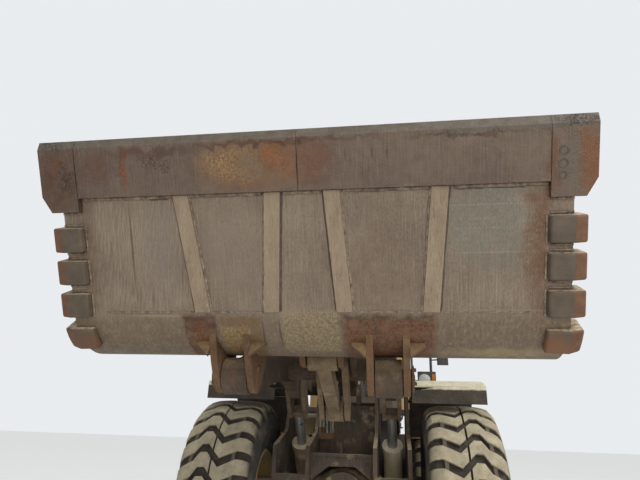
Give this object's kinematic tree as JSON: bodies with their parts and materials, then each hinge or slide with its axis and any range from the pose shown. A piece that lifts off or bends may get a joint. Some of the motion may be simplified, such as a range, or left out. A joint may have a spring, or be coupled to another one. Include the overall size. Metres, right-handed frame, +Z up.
{
  "type": "wheel loader",
  "caption": "Articulated wheel loader with Z-bar boom and bolted-edge bucket raised in carry position, cab over the hinge, rear engine hood and block-tread tyres.",
  "frame": {"origin": "centre of the machine's box on the ground", "axes": "+X forward to the bucket, +Y to the machine's left, +Z up"},
  "size_m": [9.5158, 3.42, 3.6],
  "materials": {
    "yellow_paint": "weathered semi-gloss yellow paint",
    "frame_paint": "painted frame under dust",
    "black_paint": "satin black paint",
    "worn_steel": "worn brown steel with rust",
    "blade_steel": "ground-worn steel",
    "chrome_rod": "hard chrome",
    "engine_iron": "painted cast iron",
    "tyre_rubber": "dusty black rubber",
    "cab_glass": "tinted safety glass",
    "seat_fabric": "woven cloth"
  },
  "bodies": {
    "rear_machine": {"rear_frame": "frame_paint", "rear_axle": "frame_paint", "counterweight": "frame_paint", "engine": "engine_iron", "radiator_guard": "black_paint", "cab_body": "yellow_paint", "cab_roof": "yellow_paint", "cab_glass": "cab_glass", "seat": "seat_fabric", "console": "black_paint", "access_steps": "black_paint", "handrails": "black_paint", "rear_fenders": "yellow_paint", "work_lamps": "black_paint"},
    "front_machine": {"front_frame": "frame_paint", "front_towers": "frame_paint", "front_axle": "frame_paint", "front_fenders": "yellow_paint", "front_lamps": "black_paint"},
    "boom": {"boom": "worn_steel"},
    "tilt_lever": {"tilt_lever": "worn_steel"},
    "bucket_link": {"bucket_link": "worn_steel"},
    "bucket": {"bucket_shell": "worn_steel", "bucket_brackets": "worn_steel", "cutting_edges": "blade_steel", "corner_shrouds": "worn_steel", "wear_strips": "blade_steel"},
    "tilt_barrel": {"tilt_barrel": "yellow_paint"},
    "tilt_rod": {"tilt_rod": "chrome_rod"},
    "cab_door": {"cab_door": "yellow_paint", "door_glass": "cab_glass"},
    "hood": {"engine_hood": "yellow_paint", "exhaust_stack": "black_paint", "air_cleaner": "black_paint"},
    "rear_grille": {"rear_grille": "black_paint"},
    "lift_barrel_left": {"lift_barrel_left": "yellow_paint"},
    "lift_rod_left": {"lift_rod_left": "chrome_rod"},
    "steer_barrel_left": {"steer_barrel_left": "yellow_paint"},
    "steer_rod_left": {"steer_rod_left": "chrome_rod"},
    "lift_barrel_right": {"lift_barrel_right": "yellow_paint"},
    "lift_rod_right": {"lift_rod_right": "chrome_rod"},
    "steer_barrel_right": {"steer_barrel_right": "yellow_paint"},
    "steer_rod_right": {"steer_rod_right": "chrome_rod"},
    "front_left_wheel": {"front_left_tyre": "tyre_rubber", "front_left_rim": "yellow_paint"},
    "front_right_wheel": {"front_right_tyre": "tyre_rubber", "front_right_rim": "yellow_paint"},
    "rear_left_wheel": {"rear_left_tyre": "tyre_rubber", "rear_left_rim": "yellow_paint"},
    "rear_right_wheel": {"rear_right_tyre": "tyre_rubber", "rear_right_rim": "yellow_paint"}
  },
  "joints": [
    {"name": "articulation", "type": "hinge", "parent": "rear_machine", "child": "front_machine", "pos_m": [-0.55789, 0, 1.02], "axis": [0, 0, 1], "range_deg": [-38, 38]},
    {"name": "front_left_wheel_spin", "type": "hinge", "parent": "front_machine", "child": "front_left_wheel", "pos_m": [1.34211, 1.22, 0.935], "axis": [0, 1, 0], "continuous": true},
    {"name": "front_right_wheel_spin", "type": "hinge", "parent": "front_machine", "child": "front_right_wheel", "pos_m": [1.34211, -1.22, 0.935], "axis": [0, 1, 0], "continuous": true},
    {"name": "rear_left_wheel_spin", "type": "hinge", "parent": "rear_machine", "child": "rear_left_wheel", "pos_m": [-2.45789, 1.22, 0.935], "axis": [0, 1, 0], "continuous": true},
    {"name": "rear_right_wheel_spin", "type": "hinge", "parent": "rear_machine", "child": "rear_right_wheel", "pos_m": [-2.45789, -1.22, 0.935], "axis": [0, 1, 0], "continuous": true},
    {"name": "boom_lift", "type": "hinge", "parent": "front_machine", "child": "boom", "pos_m": [0.74211, 0, 2.15], "axis": [0, -1, 0], "range_deg": [-35.6, 52.4]},
    {"name": "bucket_tilt", "type": "hinge", "parent": "boom", "child": "bucket", "pos_m": [3.80306, 0, 1.91447], "axis": [0, 1, 0], "range_deg": [-4, 158]},
    {"name": "lever_swing", "type": "hinge", "parent": "boom", "child": "tilt_lever", "pos_m": [2.81062, 0, 2.31178], "axis": [0, -1, 0], "range_deg": [-2.58, 82.66]},
    {"name": "link_swing", "type": "hinge", "parent": "tilt_lever", "child": "bucket_link", "pos_m": [2.35751, 0, 1.75224], "axis": [0, 1, 0], "range_deg": [-2.34, 73.18]},
    {"name": "tilt_barrel_swing", "type": "hinge", "parent": "front_machine", "child": "tilt_barrel", "pos_m": [0.92211, 0, 2.07], "axis": [0, -1, 0], "range_deg": [-37.93, 55.6]},
    {"name": "tilt_rod_slide", "type": "slide", "parent": "tilt_barrel", "child": "tilt_rod", "axis": [0.9245, 0, 0.3812], "range_m": [-0.81624, 0.02554]},
    {"name": "lift_barrel_left_swing", "type": "hinge", "parent": "front_machine", "child": "lift_barrel_left", "pos_m": [0.39211, 0.52, 0.6], "axis": [0, -1, 0], "range_deg": [-10.53, 15.26]},
    {"name": "lift_rod_left_slide", "type": "slide", "parent": "lift_barrel_left", "child": "lift_rod_left", "axis": [0.6746, 0, 0.7381], "range_m": [-0.40266, 0.59031]},
    {"name": "steer_barrel_left_swing", "type": "hinge", "parent": "rear_machine", "child": "steer_barrel_left", "pos_m": [-1.31789, 0.43, 0.975], "axis": [0, 0, 1], "range_deg": [-12.65, 12.65]},
    {"name": "steer_rod_left_slide", "type": "slide", "parent": "steer_barrel_left", "child": "steer_rod_left", "axis": [0.9997, -0.0259, 0], "range_m": [-0.27029, 0.27029]},
    {"name": "lift_barrel_right_swing", "type": "hinge", "parent": "front_machine", "child": "lift_barrel_right", "pos_m": [0.39211, -0.52, 0.6], "axis": [0, -1, 0], "range_deg": [-10.53, 15.26]},
    {"name": "lift_rod_right_slide", "type": "slide", "parent": "lift_barrel_right", "child": "lift_rod_right", "axis": [0.6746, 0, 0.7381], "range_m": [-0.40266, 0.59031]},
    {"name": "steer_barrel_right_swing", "type": "hinge", "parent": "rear_machine", "child": "steer_barrel_right", "pos_m": [-1.31789, -0.43, 0.975], "axis": [0, 0, 1], "range_deg": [-12.65, 12.65]},
    {"name": "steer_rod_right_slide", "type": "slide", "parent": "steer_barrel_right", "child": "steer_rod_right", "axis": [0.9997, 0.0259, 0], "range_m": [-0.27029, 0.27029]},
    {"name": "cab_door_hinge", "type": "hinge", "parent": "rear_machine", "child": "cab_door", "pos_m": [-1.75789, 0.802, 2.6], "axis": [0, 0, 1], "range_deg": [0, 110]},
    {"name": "hood_tilt", "type": "hinge", "parent": "rear_machine", "child": "hood", "pos_m": [-4.24789, 0, 2.62], "axis": [0, -1, 0], "range_deg": [0, 60]},
    {"name": "rear_grille_hinge", "type": "hinge", "parent": "rear_machine", "child": "rear_grille", "pos_m": [-4.54289, 0.665, 2.05], "axis": [0, 0, -1], "range_deg": [0, 110]}
  ],
  "couplings": [
    {"joint": "lever_swing", "follows": "bucket_tilt", "ratio": 0.52},
    {"joint": "link_swing", "follows": "bucket_tilt", "ratio": 0.46},
    {"joint": "tilt_barrel_swing", "follows": "boom_lift", "ratio": 1.0515},
    {"joint": "tilt_rod_slide", "follows": "bucket_tilt", "m_per_rad": -0.29418},
    {"joint": "lift_barrel_left_swing", "follows": "boom_lift", "ratio": 0.2817},
    {"joint": "lift_rod_left_slide", "follows": "boom_lift", "m_per_rad": 0.64},
    {"joint": "steer_barrel_left_swing", "follows": "articulation", "ratio": 0.3197},
    {"joint": "steer_rod_left_slide", "follows": "articulation", "m_per_rad": -0.4},
    {"joint": "lift_barrel_right_swing", "follows": "boom_lift", "ratio": 0.2817},
    {"joint": "lift_rod_right_slide", "follows": "boom_lift", "m_per_rad": 0.64},
    {"joint": "steer_barrel_right_swing", "follows": "articulation", "ratio": 0.3197},
    {"joint": "steer_rod_right_slide", "follows": "articulation", "m_per_rad": 0.4}
  ]
}
